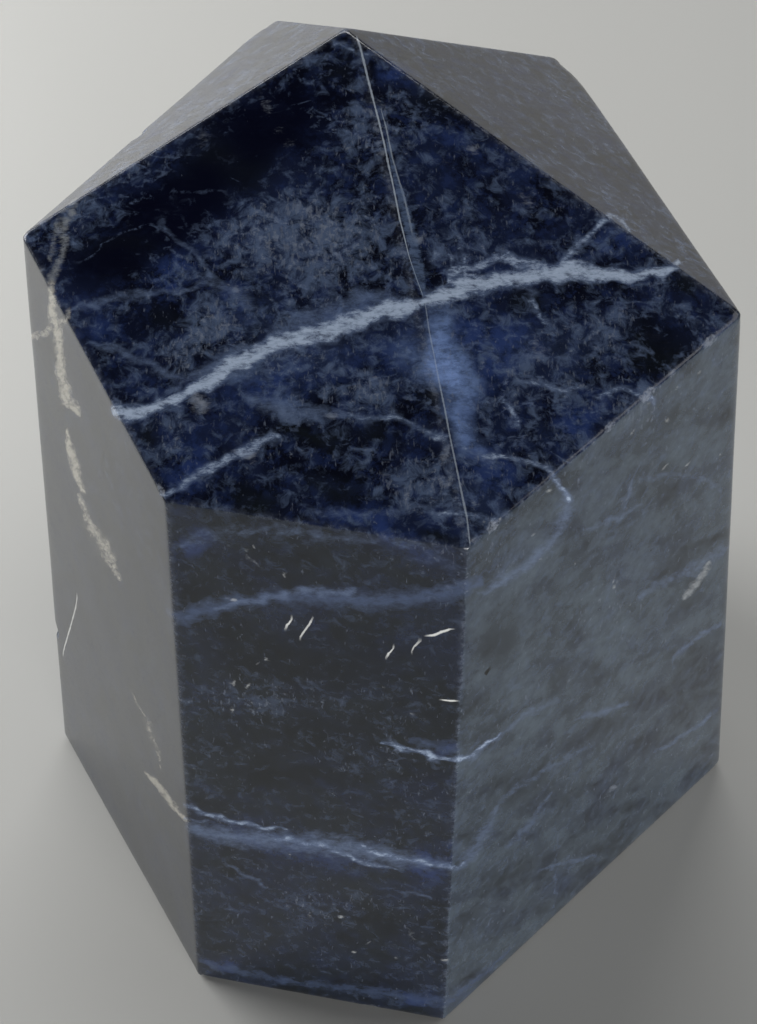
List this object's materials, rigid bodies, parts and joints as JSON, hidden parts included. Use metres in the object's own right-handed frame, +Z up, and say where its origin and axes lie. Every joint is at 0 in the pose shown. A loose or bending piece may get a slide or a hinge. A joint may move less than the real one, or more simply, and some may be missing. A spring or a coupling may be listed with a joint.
{
  "type": "polished sodalite point",
  "caption": "Polished dark blue stone point that stands on its flat base: a short six-sided prism under a low, off-centre faceted tip.",
  "frame": {"origin": "middle of the stone's footprint, on the flat base it stands on", "axes": "+Z up through the tip; -Y towards the broad front face of the prism; +X to the right seen from the front"},
  "size_m": [0.048, 0.0474, 0.0597],
  "materials": {
    "sodalite": "polished, with white and pale blue veins"
  },
  "bodies": {
    "root": {"sodalite_point": "sodalite"}
  },
  "joints": []
}
